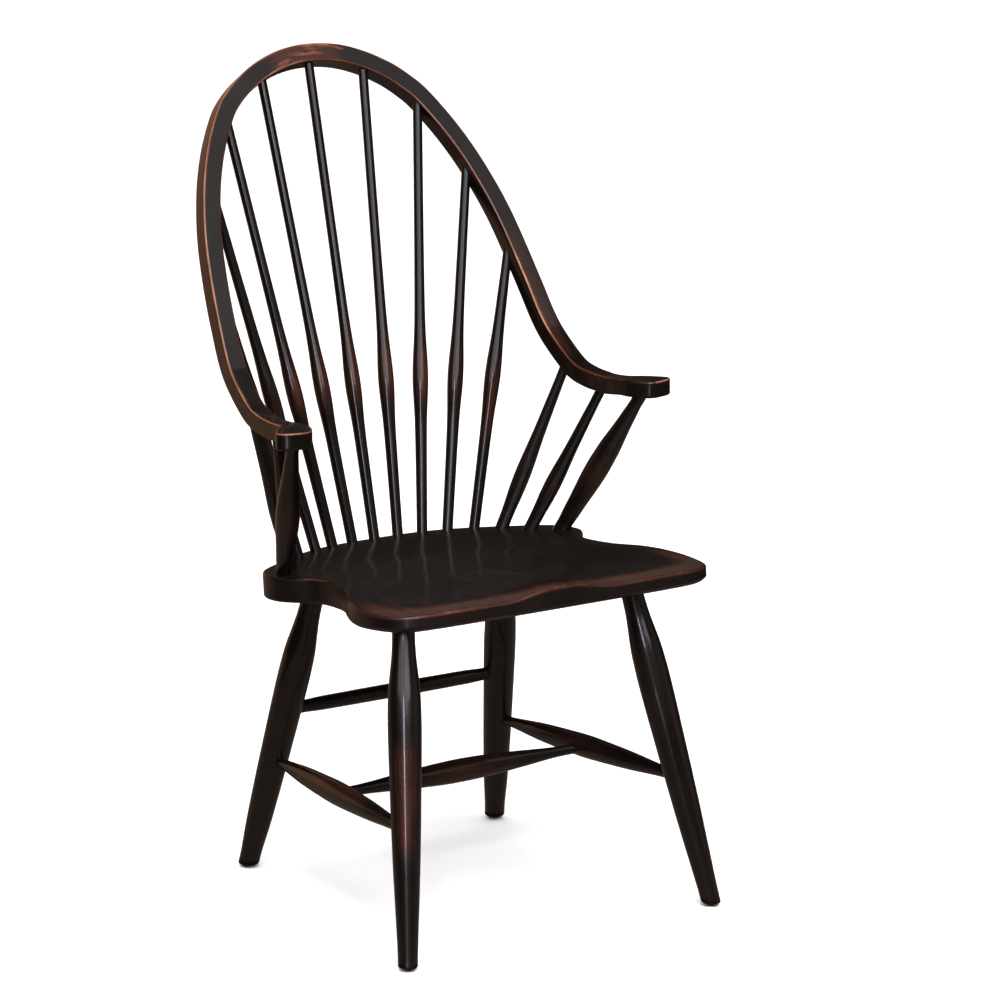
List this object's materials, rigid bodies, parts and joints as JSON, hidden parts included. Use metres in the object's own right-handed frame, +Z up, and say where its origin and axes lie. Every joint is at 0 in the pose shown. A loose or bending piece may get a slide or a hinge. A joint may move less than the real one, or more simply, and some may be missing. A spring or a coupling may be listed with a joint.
{
  "type": "windsor armchair",
  "caption": "High-back continuous-arm windsor chair: bent bow flowing into both arms, turned spindles, carved plank seat, splayed turned legs and swelled stretchers.",
  "frame": {"origin": "on the floor, under the middle of the chair's overall box", "axes": "+Z up from the floor, front of the seat towards -Y, +X to the right of someone who looks at the chair's front"},
  "size_m": [0.612, 0.6721, 1.1026],
  "materials": {
    "painted_wood": "satin near-black paint, rubbed through to cherry-brown wood along the edges and swells",
    "glide_steel": "dull nickel-plated steel"
  },
  "bodies": {
    "root": {"seat": "painted_wood", "bow": "painted_wood", "back_spindle_1": "painted_wood", "back_spindle_2": "painted_wood", "back_spindle_3": "painted_wood", "back_spindle_4": "painted_wood", "back_spindle_5": "painted_wood", "back_spindle_6": "painted_wood", "back_spindle_7": "painted_wood", "back_spindle_8": "painted_wood", "back_spindle_9": "painted_wood", "arm_spindle_left_rear": "painted_wood", "arm_spindle_left_front": "painted_wood", "arm_spindle_right_rear": "painted_wood", "arm_spindle_right_front": "painted_wood", "arm_post_left": "painted_wood", "arm_post_right": "painted_wood", "leg_front_left": "painted_wood", "leg_front_right": "painted_wood", "leg_back_left": "painted_wood", "leg_back_right": "painted_wood", "stretcher_left": "painted_wood", "stretcher_right": "painted_wood", "stretcher_middle": "painted_wood", "stretcher_back": "painted_wood", "glides": "glide_steel"}
  },
  "joints": []
}
